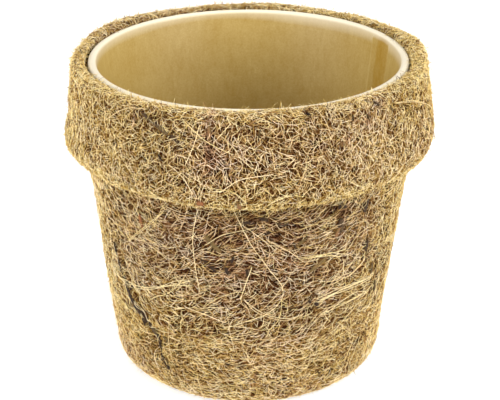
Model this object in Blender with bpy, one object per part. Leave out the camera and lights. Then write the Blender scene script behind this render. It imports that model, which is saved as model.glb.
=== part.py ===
# Coir pot with a folded cuff and a lift-out kraft paper liner
# Metres, +Z up, origin at the centre of the underside
import math

import bmesh
import bpy
from mathutils import Matrix, Vector

# Gaps between neighbours
TOUCH = 0.0003            # between pieces that touch
RIM_CLEARANCE = 0.0005    # between the liner's rolled rim and the coir
LINER_CLEARANCE = 0.0045  # between the liner's foot and the pot's inner wall

# Paper liner
MOUTH_RADIUS = 0.0700       # inside, level with the middle of the rolled rim
LINER_FOOT_RADIUS = 0.0555  # outside
LINER_HEIGHT = 0.1475       # foot to the top of the rolled rim
PAPER = 0.0007              # paperboard thickness
ROLL_RADIUS = 0.00225       # outside of the rolled rim
ROLL_END_ANGLE = -115.0     # where the roll ends, in degrees from straight out
HEM_HEIGHT = 0.0070         # of the foot, turned in and up round the base's skirt
SEAM_OVERLAP = 0.0120       # width of the glued overlap
SEAM_STEP = 0.0004          # how far the pressed overlap stands in
SEAM_EDGE = 0.0008          # width of the step at each side of it
SEAM_ANGLE = 22.4           # its middle, in degrees from +X towards +Y

# Coir pot
FLOOR = 0.0050           # mat thickness under the liner
CORNER_RADIUS = 0.0090   # outside, between wall and underside
WALL_AT_FOOT = 0.0050    # mat thickness, pressed thinner at the rim
WALL_AT_CUFF = 0.0058
WALL_AT_RIM = 0.0035
PLEAT_DEPTH = 0.0018     # furrow where the mat is gathered
PLEAT_WIDTH = 0.0075     # half width of the furrow
PLEAT_TOP = 0.0980       # height where it starts
PLEAT_FOOT = 0.0120      # height where it ends
PLEAT_TOP_ANGLE = 204.0  # degrees from +X towards +Y
PLEAT_FOOT_ANGLE = 223.0

# Coir cuff, laid over the pot's rim and down its outside
COIR_PROUD = 0.0008     # how far it stands above the liner's rim
CUFF_CAP = 0.0038       # mat thickness over the pot's rim
CUFF_WALL = 0.0035      # mat thickness beside the pot's rim
CUFF_EDGE_WALL = 0.0046 # mat thickness at the free edge
CUFF_HEIGHT = 0.0426    # top to free edge
CUFF_FLARE = 0.0053     # how far it widens on the way down
CUFF_LIP = 0.0065       # height of the turned-in edge
CUFF_TUCK = 0.0026      # how far that edge turns in
CUFF_ROUND = 0.0026     # outer rounding of the top
CUFF_SOFT_EDGE = 0.0020 # rounding of the free edge
FLARE_WAVE = 0.0006     # how far the free edge leans and waves in and out
HANG_WAVE = 0.0008      # how far it waves up and down

SEGMENTS = 72           # round a full turn
ARC_STEPS = 4
ROLL_STEPS = 8
WALL_RINGS = 9
MERGE = 1e-6            # vertices closer than this are one

# Heights and radii that follow
liner_foot = FLOOR + TOUCH
liner_top = liner_foot + LINER_HEIGHT
roll_height = liner_top - ROLL_RADIUS
roll_centre = MOUTH_RADIUS + ROLL_RADIUS
liner_taper = (MOUTH_RADIUS + PAPER - LINER_FOOT_RADIUS) / (roll_height - liner_foot)
hem_top = liner_foot + HEM_HEIGHT
slot = PAPER + 2 * TOUCH

cuff_top = liner_top + COIR_PROUD
cuff_edge = cuff_top - CUFF_HEIGHT
shell_top = cuff_top - CUFF_CAP - TOUCH
rim_inside = MOUTH_RADIUS + 2 * ROLL_RADIUS + RIM_CLEARANCE
foot_inside = LINER_FOOT_RADIUS + LINER_CLEARANCE
shell_taper = (rim_inside - foot_inside) / (shell_top - FLOOR)
cuff_inside = rim_inside + WALL_AT_RIM + TOUCH
cuff_outside = cuff_inside + CUFF_WALL


def clear_scene():
    for item in list(bpy.data.objects):
        bpy.data.objects.remove(item, do_unlink=True)


def liner_outer(height):
    return LINER_FOOT_RADIUS + liner_taper * (height - liner_foot)


def liner_inner(height):
    return liner_outer(height) - PAPER


def shell_inner(height):
    return foot_inside + shell_taper * (height - FLOOR)


def shell_outer(height):
    if height < cuff_edge:
        share = height / cuff_edge
        return shell_inner(height) + WALL_AT_FOOT + (WALL_AT_CUFF - WALL_AT_FOOT) * share
    share = (height - cuff_edge) / (shell_top - cuff_edge)
    return shell_inner(height) + WALL_AT_CUFF + (WALL_AT_RIM - WALL_AT_CUFF) * share


def rounded(corners, steps=ARC_STEPS):
    # Corners are (radius, height, rounding); each rounded one becomes an arc
    outline = []
    for index, (r, z, rounding) in enumerate(corners):
        here = Vector((r, z))
        if rounding == 0:
            outline.append(here)
            continue
        before = Vector(corners[index - 1][:2]) - here
        after = Vector(corners[(index + 1) % len(corners)][:2]) - here
        half = before.angle(after) / 2
        reach = rounding / math.tan(half)
        middle = here + (before.normalized() + after.normalized()).normalized() * rounding / math.sin(half)
        start = here + before.normalized() * reach - middle
        swing = start.angle_signed(here + after.normalized() * reach - middle)
        for step in range(steps + 1):
            turn = Matrix.Rotation(-swing * step / steps, 2)
            outline.append(middle + turn @ start)
    return outline


def roll_arc(radius, first, last):
    # Points round the middle of the rolled rim, angles in degrees from straight out
    points = []
    for step in range(ROLL_STEPS + 1):
        angle = math.radians(first + (last - first) * step / ROLL_STEPS)
        offset = Vector((math.cos(angle), math.sin(angle))) * radius
        points.append(Vector((roll_centre, roll_height)) + offset)
    return points


def finish_material(name, colour, roughness):
    material = bpy.data.materials.new(name)
    material.use_nodes = True
    shader = material.node_tree.nodes["Principled BSDF"]
    shader.inputs["Base Color"].default_value = (*colour, 1.0)
    shader.inputs["Roughness"].default_value = roughness
    shader.inputs["Metallic"].default_value = 0.0
    return material


def turned_body(name, outline, arcs, start, closed, shape, material):
    # Spins the outline about Z in arcs of (angle, steps), then shapes every vertex
    bm = bmesh.new()
    verts = [bm.verts.new((point.x, 0.0, point.y)) for point in outline]
    edges = [bm.edges.new(pair) for pair in zip(verts, verts[1:])]
    if closed:
        edges.append(bm.edges.new((verts[-1], verts[0])))
    bmesh.ops.rotate(bm, verts=verts, cent=(0, 0, 0), matrix=Matrix.Rotation(start, 3, "Z"))
    profile = verts + edges
    for angle, steps in arcs:
        swept = bmesh.ops.spin(bm, geom=profile, cent=(0, 0, 0), axis=(0, 0, 1), angle=angle, steps=steps)
        profile = swept["geom_last"]
    bmesh.ops.remove_doubles(bm, verts=bm.verts, dist=MERGE)
    if shape:
        for vert in bm.verts:
            vert.co = shape(vert.co)
    bmesh.ops.recalc_face_normals(bm, faces=bm.faces)
    mesh = bpy.data.meshes.new(name)
    bm.to_mesh(mesh)
    bm.free()
    mesh.shade_smooth()
    mesh.set_sharp_from_angle(angle=math.radians(40))
    mesh.materials.append(material)
    body = bpy.data.objects.new(name, mesh)
    bpy.context.scene.collection.objects.link(body)
    return body


def from_axis(co):
    return math.hypot(co.x, co.y), math.atan2(co.y, co.x)


def placed(radius, angle, height):
    return Vector((radius * math.cos(angle), radius * math.sin(angle), height))


def bump(distance, half_width):
    # 1 in the middle, falling smoothly to 0 at half_width
    if abs(distance) >= half_width:
        return 0.0
    return 0.5 + 0.5 * math.cos(math.pi * distance / half_width)


def pleat_furrow(co):
    radius, angle = from_axis(co)
    if not PLEAT_FOOT < co.z < PLEAT_TOP or radius < shell_inner(co.z) + WALL_AT_FOOT / 2:
        return co
    share = (co.z - PLEAT_FOOT) / (PLEAT_TOP - PLEAT_FOOT)
    middle = math.radians(PLEAT_FOOT_ANGLE + (PLEAT_TOP_ANGLE - PLEAT_FOOT_ANGLE) * share)
    off = (angle - middle + math.pi) % math.tau - math.pi
    depth = PLEAT_DEPTH * math.sin(math.pi * share) ** 0.5 * bump(off * radius, PLEAT_WIDTH)
    return placed(radius - depth, angle, co.z)


def cuff_wave(co):
    # The free edge waves; the top, which sits on the pot's rim, stays true
    radius, angle = from_axis(co)
    loose = max(0.0, (shell_top - co.z) / (shell_top - cuff_edge)) ** 1.5
    in_out = 0.7 * math.cos(angle) + 0.3 * math.sin(3 * angle + 1.0)
    up_down = 0.7 * math.cos(2 * angle) + 0.3 * math.sin(5 * angle)
    return placed(radius + FLARE_WAVE * loose * in_out, angle, co.z + HANG_WAVE * loose * up_down)


def seam_press(co):
    # The overlap is pressed in by the same step as far down as the hem and the base's skirt
    radius, angle = from_axis(co)
    wall = liner_inner(co.z)
    at_wall = wall - slot - 2 * PAPER < radius < wall + PAPER / 2
    off = (angle - math.radians(SEAM_ANGLE) + math.pi) % math.tau - math.pi
    in_overlap = abs(off) * MOUTH_RADIUS < SEAM_OVERLAP / 2 + SEAM_EDGE / 2
    if not at_wall or not in_overlap or co.z > roll_height - MERGE:
        return co
    return placed(radius - SEAM_STEP, angle, co.z)


def whole_turn():
    return [(math.tau, SEGMENTS)]


def seam_turn():
    # Meridians at both sides of the seam, so that its steps are sharp
    overlap = SEAM_OVERLAP / MOUTH_RADIUS
    edge = SEAM_EDGE / MOUTH_RADIUS
    rest = math.tau - overlap - 2 * edge
    return [(overlap, 2), (edge, 1), (rest, SEGMENTS - 4), (edge, 1)]


def seam_start():
    return math.radians(SEAM_ANGLE) - SEAM_OVERLAP / MOUTH_RADIUS / 2


def make_shell(coir):
    corners = [(0.0, 0.0, 0.0), (shell_outer(0.0), 0.0, CORNER_RADIUS)]
    first_ring = 2 * CORNER_RADIUS
    for ring in range(WALL_RINGS):
        height = first_ring + (cuff_edge - first_ring) * ring / (WALL_RINGS - 1)
        corners.append((shell_outer(height), height, 0.0))
    corners += [
        (shell_outer(shell_top), shell_top, 0.0),
        (rim_inside, shell_top, 0.0),
        (foot_inside, FLOOR, CORNER_RADIUS - FLOOR),
        (0.0, FLOOR, 0.0),
    ]
    return turned_body("coir_shell", rounded(corners), whole_turn(), 0.0, False, pleat_furrow, coir)


def make_cuff(coir):
    widest = cuff_outside + CUFF_FLARE
    lip = cuff_edge + CUFF_LIP
    cap_underside = shell_top + TOUCH
    flare = CUFF_FLARE / (cap_underside - lip)
    corners = [
        (rim_inside, cap_underside, 0.0),
        (rim_inside, cuff_top, CUFF_ROUND / 2),
        (cuff_outside, cuff_top, CUFF_ROUND),
        (cuff_outside + CUFF_FLARE / 2, (cap_underside + lip) / 2, 0.0),
        (widest, lip, 0.0),
        (widest - CUFF_TUCK, cuff_edge, CUFF_SOFT_EDGE),
        (widest - CUFF_EDGE_WALL, cuff_edge, CUFF_SOFT_EDGE / 2),
        (widest - CUFF_EDGE_WALL, lip, 0.0),
        (cuff_inside + flare * CUFF_CAP, cap_underside - CUFF_CAP, 0.0),
        (cuff_inside, cap_underside, 0.0),
    ]
    return turned_body("coir_cuff", rounded(corners), whole_turn(), 0.0, True, cuff_wave, coir)


def make_liner_wall(kraft):
    slot_foot = liner_foot + PAPER
    slot_outside = liner_inner(slot_foot) - slot
    hem_outside = liner_inner(hem_top) - slot
    outline = [Vector((liner_outer(liner_foot), liner_foot))]
    outline += roll_arc(ROLL_RADIUS - PAPER, 180.0, ROLL_END_ANGLE)
    outline += roll_arc(ROLL_RADIUS, ROLL_END_ANGLE, 180.0)
    outline += [
        Vector((liner_inner(roll_height - ROLL_RADIUS), roll_height - ROLL_RADIUS)),
        Vector((liner_inner(hem_top), hem_top)),
        Vector((liner_inner(slot_foot), slot_foot)),
        Vector((slot_outside, slot_foot)),
        Vector((hem_outside, hem_top)),
        Vector((hem_outside - PAPER, hem_top)),
        Vector((liner_inner(liner_foot) - slot - PAPER, liner_foot)),
    ]
    return turned_body("liner_wall", outline, seam_turn(), seam_start(), True, seam_press, kraft)


def make_liner_base(kraft):
    underside = hem_top + TOUCH
    floor = underside + PAPER
    skirt_foot = liner_foot + PAPER + TOUCH
    outline = [
        Vector((0.0, floor)),
        Vector((liner_inner(floor) - TOUCH, floor)),
        Vector((liner_inner(skirt_foot) - TOUCH, skirt_foot)),
        Vector((liner_inner(skirt_foot) - TOUCH - PAPER, skirt_foot)),
        Vector((liner_inner(underside) - TOUCH - PAPER, underside)),
        Vector((0.0, underside)),
    ]
    return turned_body("liner_base", outline, seam_turn(), seam_start(), False, seam_press, kraft)


def main():
    clear_scene()
    coir = finish_material("coir", (0.50, 0.34, 0.15), 0.90)
    kraft = finish_material("kraft_paperboard", (0.52, 0.37, 0.16), 0.55)
    make_shell(coir)
    make_cuff(coir)
    make_liner_wall(kraft)
    make_liner_base(kraft)


main()
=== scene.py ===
import math
import bpy
import numpy as np
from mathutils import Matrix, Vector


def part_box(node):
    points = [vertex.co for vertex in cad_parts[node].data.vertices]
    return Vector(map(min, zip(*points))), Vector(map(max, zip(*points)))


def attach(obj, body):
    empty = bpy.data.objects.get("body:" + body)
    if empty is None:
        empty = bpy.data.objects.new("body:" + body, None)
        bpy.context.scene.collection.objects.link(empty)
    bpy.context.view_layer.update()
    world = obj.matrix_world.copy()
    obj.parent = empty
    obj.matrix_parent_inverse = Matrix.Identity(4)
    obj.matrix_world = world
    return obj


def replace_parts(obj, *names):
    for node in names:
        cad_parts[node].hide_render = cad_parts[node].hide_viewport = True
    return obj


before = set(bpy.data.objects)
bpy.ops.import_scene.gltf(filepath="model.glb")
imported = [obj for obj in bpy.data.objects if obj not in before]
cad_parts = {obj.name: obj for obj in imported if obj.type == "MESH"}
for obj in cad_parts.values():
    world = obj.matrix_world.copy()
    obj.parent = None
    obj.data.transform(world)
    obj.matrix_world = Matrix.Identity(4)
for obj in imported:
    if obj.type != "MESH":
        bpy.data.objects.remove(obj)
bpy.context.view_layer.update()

mm = 0.001
thinning = 1


# Colours and nodes

def hexToLinear(code):
    channels = [int(code[i:i + 2], 16) / 255 for i in (1, 3, 5)]
    return tuple(c / 12.92 if c <= 0.04045 else ((c + 0.055) / 1.055) ** 2.4 for c in channels) + (1.0,)


def addNode(tree, kind, settings=None, inputs=None, links=None, stops=()):
    # settings are the node's own, inputs are values, links are source sockets, stops are a ramp's colours
    node = tree.nodes.new(kind)
    for key, value in (settings or {}).items():
        setattr(node, key, value)
    for key, value in (inputs or {}).items():
        node.inputs[key].default_value = value
    for key, source in (links or {}).items():
        tree.links.new(source, node.inputs[key])
    for number, (place, colour) in enumerate(stops):
        # a ramp starts with two elements of its own
        elements = node.color_ramp.elements
        element = elements[number] if number < 2 else elements.new(place)
        element.position = place
        element.color = hexToLinear(colour)
    return node


def newMaterial(name):
    material = bpy.data.materials.new(name)
    material.use_nodes = True
    tree = material.node_tree
    return material, tree, tree.nodes["Principled BSDF"]


# Fields of random relief over a turned surface, periodic round it

def makeField(rng, cells, reach):
    # cells and the reach of a lump are counted (along the outline, round it)
    softness = 9.0   # gives the blur a spread of two thirds of the reach
    noise = rng.standard_normal(cells)
    fy = np.fft.fftfreq(cells[0])[:, None] * reach[0]
    fx = np.fft.fftfreq(cells[1])[None, :] * reach[1]
    smooth = np.fft.ifft2(np.fft.fft2(noise) * np.exp(-softness * (fy ** 2 + fx ** 2))).real
    return smooth / smooth.std()


def readField(field, across, around):
    # across runs 0..1 along the outline, around is an angle
    rows, columns = field.shape
    y = np.clip(across, 0, 1) * (rows - 1)
    x = (around / math.tau % 1.0) * columns
    y0 = np.minimum(y.astype(int), rows - 2)
    x0 = x.astype(int) % columns
    x1 = (x0 + 1) % columns
    fy = y - y0
    fx = x - np.floor(x)
    top = field[y0, x0] * (1 - fx) + field[y0, x1] * fx
    low = field[y0 + 1, x0] * (1 - fx) + field[y0 + 1, x1] * fx
    return top * (1 - fy) + low * fy


# Outlines of the turned pieces

def roundCorners(corners, steps=7):
    # corners are (radius, height, rounding)
    points = []
    for i, (r, z, rounding) in enumerate(corners):
        here = np.array([r, z])
        if rounding == 0:
            points.append(here)
            continue
        before = np.array(corners[i - 1][:2]) - here
        after = np.array(corners[(i + 1) % len(corners)][:2]) - here
        before = before / np.linalg.norm(before)
        after = after / np.linalg.norm(after)
        half = math.acos(np.clip(before @ after, -1, 1)) / 2
        middle = here + (before + after) / np.linalg.norm(before + after) * rounding / math.sin(half)
        start = here + before * rounding / math.tan(half) - middle
        end = here + after * rounding / math.tan(half) - middle
        swing = math.atan2(start[0] * end[1] - start[1] * end[0], start @ end)
        for step in range(steps + 1):
            a = swing * step / steps
            points.append(middle + np.array([start[0] * math.cos(a) - start[1] * math.sin(a),
                                             start[0] * math.sin(a) + start[1] * math.cos(a)]))
    return np.array(points)


class Meridian:
    # An outline read by its length: place, outward direction and the way along it

    def __init__(self, points, spacing=0.5 * mm, soften=3):
        points = np.array(points)
        lengths = np.concatenate([[0], np.cumsum(np.linalg.norm(np.diff(points, axis=0), axis=1))])
        self.length = lengths[-1]
        count = max(8, int(self.length / spacing))
        self.at = np.linspace(0, self.length, count)
        r = np.interp(self.at, lengths, points[:, 0])
        z = np.interp(self.at, lengths, points[:, 1])
        for _ in range(soften):
            r[1:-1] = (r[:-2] + 2 * r[1:-1] + r[2:]) / 4
            z[1:-1] = (z[:-2] + 2 * z[1:-1] + z[2:]) / 4
        self.r = r
        self.z = z
        self.dr = np.gradient(r, self.at)
        self.dz = np.gradient(z, self.at)
        size = np.hypot(self.dr, self.dz)
        self.dr /= size
        self.dz /= size

    def read(self, along):
        r, z, dr, dz = [np.interp(along, self.at, column) for column in (self.r, self.z, self.dr, self.dz)]
        size = np.hypot(dr, dz)
        return r, z, dr / size, dz / size


def turnedPoint(meridian, along, around, lift):
    # The outline runs with the outside on its left, so outward is (-dz, dr) turned about Z
    r, z, dr, dz = meridian.read(along)
    nr, nz = -dz, dr
    radius = r + nr * lift
    height = z + nz * lift
    point = np.stack([radius * np.cos(around), radius * np.sin(around), height], -1)
    normal = np.stack([nr * np.cos(around), nr * np.sin(around), nz + 0 * around], -1)
    return point, normal


# Meshes from arrays

def meshFromArrays(name, verts, quads, tris=None):
    mesh = bpy.data.meshes.new(name)
    tris = np.zeros((0, 3), int) if tris is None else tris
    mesh.vertices.add(len(verts))
    mesh.vertices.foreach_set("co", np.ascontiguousarray(verts, np.float32).ravel())
    corners = np.concatenate([quads.ravel(), tris.ravel()]).astype(np.int32)
    mesh.loops.add(len(corners))
    mesh.loops.foreach_set("vertex_index", corners)
    starts = np.concatenate([np.arange(len(quads)) * 4, len(quads) * 4 + np.arange(len(tris)) * 3])
    mesh.polygons.add(len(starts))
    mesh.polygons.foreach_set("loop_start", starts.astype(np.int32))
    mesh.polygons.foreach_set("use_smooth", np.full(len(starts), True))
    mesh.update(calc_edges=True)
    mesh.validate()
    return mesh


def addAttribute(mesh, name, values):
    layer = mesh.attributes.new(name, "FLOAT", "POINT")
    layer.data.foreach_set("value", np.ascontiguousarray(values, np.float32).ravel())


def addPiece(name, mesh, material, body):
    piece = bpy.data.objects.new(name, mesh)
    bpy.context.scene.collection.objects.link(piece)
    mesh.materials.append(material)
    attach(piece, body)
    return piece


def unit(vectors):
    return vectors / (np.linalg.norm(vectors, axis=-1, keepdims=True) + 1e-12)


def fibreMesh(name, *bundles):
    # a bundle holds points and normals as (fibre, step, 3), and radii, tone and tint as (fibre, step),
    # and each fibre is a closed tube of three sides
    verts = []
    quads = []
    caps = []
    quadUvs = []
    capUvs = []
    tones = []
    tints = []
    grid = math.ceil(math.sqrt(sum(len(bundle[0]) for bundle in bundles)))
    firstFibre = 0
    firstVert = 0
    ring = math.tau * (0.25 + np.arange(3) / 3)
    for points, normals, radii, tone, tint in bundles:
        count, steps, _ = points.shape
        tangent = unit(np.gradient(points, axis=1))
        side = unit(np.cross(tangent, normals))
        up = np.cross(side, tangent)
        around = np.cos(ring)[:, None] * side[:, :, None, :] + np.sin(ring)[:, None] * up[:, :, None, :]
        verts.append((points[:, :, None, :] + radii[:, :, None, None] * around).reshape(-1, 3))
        start = (firstVert + np.arange(count) * steps * 3)[:, None, None]
        row = (np.arange(steps - 1) * 3)[None, :, None]
        a = start + row + np.arange(3)
        b = start + row + (np.arange(3) + 1) % 3
        quads.append(np.stack([a, b, b + 3, a + 3], -1).reshape(-1, 4))
        cap = start[:, 0] + np.arange(3)
        caps += [cap[:, ::-1], cap + (steps - 1) * 3]
        cells = bakeCells(firstFibre + np.arange(count), grid, steps)
        quadUvs.append(cells[0])
        capUvs.append(cells[1])
        tones.append(np.repeat(tone.ravel(), 3))
        tints.append(np.repeat(tint.ravel(), 3))
        firstFibre += count
        firstVert += count * steps * 3
    mesh = meshFromArrays(name, np.concatenate(verts), np.concatenate(quads), np.concatenate(caps))
    addAttribute(mesh, "tone", np.concatenate(tones))
    addAttribute(mesh, "tint", np.concatenate(tints))
    layer = mesh.uv_layers.new(name="OFBake")
    layer.data.foreach_set("uv", np.concatenate(quadUvs + capUvs).astype(np.float32).ravel())
    return mesh


def bakeCells(fibres, grid, steps):
    # each fibre has its own small cell of the bake map, its length one way and its girth the other
    margin, tube, cap = 0.12, 0.9, 0.05   # the last two are shares of the room between the margins
    cell = 1.0 / grid
    room = (1 - 2 * margin) * cell
    left = ((fibres % grid) + margin) * cell
    low = ((fibres // grid) + margin) * cell
    u = left[:, None, None] + tube * room * np.arange(steps)[None, :, None] / (steps - 1)
    v = low[:, None, None] + room * np.arange(4)[None, None, :] / 3
    corners = np.stack(np.broadcast_arrays(u, v), -1)
    near, far = corners[:, :-1], corners[:, 1:]
    quadUv = np.stack([near[:, :, :-1], near[:, :, 1:], far[:, :, 1:], far[:, :, :-1]], -2)
    span = cap * room
    triangle = np.array([(0, 0), (span, 0), (span, span)])
    corner = np.stack([left + room - span, low], -1)[:, None, :]
    capUv = np.concatenate([corner + triangle, corner + triangle + (0, 2 * span)])
    return quadUv.reshape(-1, 2), capUv.reshape(-1, 2)


# Camera: the photograph's view

view = {
    "lens": 100.8, "sensor": 36.0, "near": 10 * mm,   # the first two in mm, as on a real camera
    "distance": 682 * mm, "pitch": 24.3, "aim": (0.7 * mm, 0.0, 78.4 * mm),
}


def makeCamera():
    pitch = math.radians(view["pitch"])
    data = bpy.data.cameras.new("camera")
    data.lens = view["lens"]
    data.sensor_width = view["sensor"]
    data.clip_start = view["near"]
    camera = bpy.data.objects.new("camera", data)
    bpy.context.scene.collection.objects.link(camera)
    x, y, z = view["aim"]
    camera.location = (x, y - view["distance"] * math.cos(pitch), z + view["distance"] * math.sin(pitch))
    camera.rotation_euler = (math.pi / 2 - pitch, 0, 0)
    bpy.context.scene.camera = camera


makeCamera()
bpy.context.scene.view_settings.view_transform = "Standard"


# Sizes of the coir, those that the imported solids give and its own

def topOf(node):
    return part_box(node)[1][2]


cuffTop = topOf("coir_cuff")
cuffEdge = cuffTop - 40.8 * mm
shellTop = topOf("coir_shell")

felt = {
    "matDepth": 0.95 * mm,   # the pith lies this far under the outermost fibres
    "flatFoot": 4 * mm,      # pressed flat as it nears the ground
    "cells": 480,            # of unevenness round the pot, about 1 mm each, as they are up the wall
    "lumps": 0.34 * mm, "lumpReach": (22, 24),
    "nubs": 0.12 * mm, "nubReach": (5, 5),
    "patchTone": 0.03, "patchReach": (20, 22),
    "clotTone": 0.16, "clotReach": (3, 5), "clotStart": 1.2,
    "hue": 0.96, "hueSpread": 0.12, "hueReach": (16, 18),   # 1 is straw and 0 is russet
    "combSlope": 0.30, "combReach": (12, 14),
}
wall = {
    "rimRadius": 78.5 * mm, "rimInside": 75.0 * mm, "rimRound": 1.0 * mm, "cuffRadius": 76.8 * mm,
    "footRadius": 64.5 * mm, "footRound": 11.3 * mm,
    "floor": 5.0 * mm, "floorRadius": 60.0 * mm, "floorRound": 4.0 * mm,
    "hole": 1.0 * mm,        # its outlines stop this far from the axis
    "hue": 0.84,
    "footBand": 40 * mm, "footPaler": 0.03,    # the foot is felted finer
    "footEdge": 8 * mm, "footDarker": 0.10,    # and darker towards the edge it stands on
    "paintedShadowHeight": cuffEdge + 1 * mm, "paintedShadowBand": 5 * mm, "paintedShadowDarker": 0.42,   # painted shadow under the cuff's hanging edge
}
cuff = {
    "topRadius": 82.3 * mm, "widest": 87.6 * mm, "edgeWall": 4.6 * mm, "tuck": 2.2 * mm, "lip": 6.5 * mm,
    "topRound": 2.8 * mm, "innerRound": 1.0 * mm, "lipRound": 5 * mm, "edgeRound": 1.2 * mm,
    "backRound": 3 * mm, "backGap": 0.6 * mm, "backTop": 3 * mm,
    "capWall": 3.6 * mm, "gap": 0.3 * mm,
    "outEnd": 0.6 * mm, "backStart": 0.5 * mm,   # its two faces meet this far off the edge's inside
    "dip": 0.2 * mm,         # the inner edge of its top is this much lower than the outer one
    "flareWaves": [(0.15 * mm, 1, math.pi / 2), (0.35 * mm, 3, 1.0)],
    "hangWaves": [(0.245 * mm, 2, math.pi / 2), (0.105 * mm, 5, 0.0)],
    "fringe": 7 * mm, "fringeHue": 0.35,       # sun-bleached ends along its edge
    "fold": 7 * mm, "foldPaintedLight": 0.04,         # painted light over the fold at its top, where it faces up
}
# a crease down the wall; its darker tone is painted shade in the crease
pleat = {
    "depth": 1.6 * mm, "halfWidth": 2.6 * mm, "darker": 0.48, "top": 98 * mm, "foot": 12 * mm,
    "topAngle": 204.0, "footAngle": 236.0,
}

# where the cuff stands out or sinks: angle and half angle in degrees, how far out, middle and half height
bulges = [
    (12, 24, 2.1 * mm, cuffTop - 2 * mm, 34 * mm),
    (146, 30, 2.0 * mm, cuffTop - 2 * mm, 22 * mm),
    (196, 30, -1.5 * mm, cuffTop - 18 * mm, 20 * mm),
    (192, 28, -1.6 * mm, cuffTop - 28 * mm, 10 * mm),
    (188, 30, 1.2 * mm, cuffEdge + 2 * mm, 7 * mm),
]

# stains and dark clots, and broad patches of painted light and shade: angle, height, half width and half
# height in mm, tone and hue added
wallMarks = [
    # at 222 degrees painted light, at 352 and 187 degrees painted shade towards the pot's sides
    (222, 70, 20, 34, 0.08, 0), (352, 60, 16, 60, -0.22, 0), (187, 65, 12, 50, -0.12, 0),
    (268, 78, 46, 30, -0.02, -0.36), (236, 24, 12, 14, -0.14, 0.2), (300, 57, 9, 6, -0.12, -0.3),
    (303.5, 102, 4.5, 2.6, -0.34, -0.5), (315, 98, 2.2, 4.5, -0.36, -0.2), (303.6, 93, 2.2, 6, -0.22, -0.6),
    (318.4, 76, 2, 4, -0.34, -0.3), (326, 58, 1.8, 8, -0.22, -0.1), (296.7, 74, 3.5, 4, -0.22, -0.1),
    # at 264, 282 and 273 degrees: painted shadow under the cuff's hanging edge
    (264, 100, 20, 7, -0.13, -0.3), (282, 97, 20, 8, -0.13, -0.2), (273, 103, 8, 3, -0.22, -0.2),
    (258, 88, 6, 9, -0.18, -0.1), (257, 78, 3, 3, -0.26, -0.2), (268.2, 92, 3, 3, -0.20, -0.2),
    (263.2, 79, 3.2, 5, -0.28, -0.2), (269.5, 77, 2.6, 5, -0.22, -0.1),
]
cuffMarks = [
    # at 308 and 230 degrees painted light
    (308, 133, 18, 18, 0.26, 0.05), (230, 130, 12, 16, 0.12, 0), (255, 136, 14, 14, 0.07, 0),
    # at 350 and 187 degrees painted shade towards the pot's sides
    (350, 130, 18, 22, -0.24, 0), (187, 130, 14, 22, -0.18, 0), (272, 133, 46, 16, -0.05, -0.38),
    (258.8, 145, 1.6, 11, -0.22, -1), (234.6, 148, 1.5, 6, -0.18, -0.8), (241, 148, 4, 5, -0.12, -0.3),
    (256.4, 115, 2.2, 2.2, -0.12, -0.8), (311.7, 151, 3, 1.6, -0.18, -0.7), (307.1, 146, 3, 3, -0.10, -0.4),
    (287.7, 152, 1.5, 1.5, -0.45, -0.4), (262, 133, 6, 6, 0, -0.4),
]


def angleFrom(around, degrees):
    return (around - np.radians(degrees) + math.pi) % math.tau - math.pi


def hump(distance, reach):
    # 1 at no distance, 0 from the reach on
    return 0.5 + 0.5 * np.cos(math.pi * (np.abs(distance) / reach).clip(0, 1))


def waves(around, parts):
    # even waves round the pot, each with its size, its count and its phase
    return sum(size * np.sin(count * around + phase) for size, count, phase in parts)


def pleatShare(height, around, radius):
    # 1 in the bottom of the pleat, 0 beside it
    share = np.clip((height - pleat["foot"]) / (pleat["top"] - pleat["foot"]), 0, 1)
    middle = pleat["footAngle"] + (pleat["topAngle"] - pleat["footAngle"]) * share
    off = angleFrom(around, middle) * radius
    return hump(off, pleat["halfWidth"]) * np.sqrt(np.sin(math.pi * share).clip(0))


def looseness(height):
    # 0 where the cuff is folded over the rim, 1 at its hanging edge
    return np.clip((shellTop - height) / (shellTop - cuffEdge), 0, 1) ** 1.5


def level(height, *_):
    return 0 * height


def wallShape(height, around, radius):
    return -pleat["depth"] * pleatShare(height, around, radius)


def cuffShape(height, around, radius):
    out = looseness(height) * waves(around, cuff["flareWaves"])
    for angle, halfAngle, size, middle, reach in bulges:
        beside = hump(angleFrom(around, angle), math.radians(halfAngle))
        out = out + size * hump(height - middle, reach) * beside
    return out


def cuffBackShape(height, around, radius):
    # this face looks at the pot, so it sinks where the cuff stands out
    return -cuffShape(height, around, radius)


def cuffHang(height, around):
    return looseness(height) * waves(around, cuff["hangWaves"])


# Tone and hue that a face adds to its fibres, by height

def wallBands(height, around, radius):
    foot = np.clip(1 - height / wall["footBand"], 0, 1)
    dirt = np.clip(1 - height / wall["footEdge"], 0, 1)
    tone = wall["footPaler"] * foot - wall["footDarker"] * dirt
    # painted shadow: the fibres just under the cuff's hanging edge are darkened
    tone = tone - wall["paintedShadowDarker"] * hump(height - wall["paintedShadowHeight"], wall["paintedShadowBand"])
    # painted shade along the bottom of the pleat
    return tone - pleat["darker"] * pleatShare(height, around, radius), wall["hue"]


def cuffBands(height, around, radius):
    hue = felt["hue"] + cuff["fringeHue"] * hump(height - cuffEdge, cuff["fringe"])
    # painted light over the top of the fold, where it faces up
    return cuff["foldPaintedLight"] * hump(height - cuffTop, cuff["fold"]), hue


def hiddenBands(height, around, radius):
    return 0.0, felt["hue"]


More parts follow.
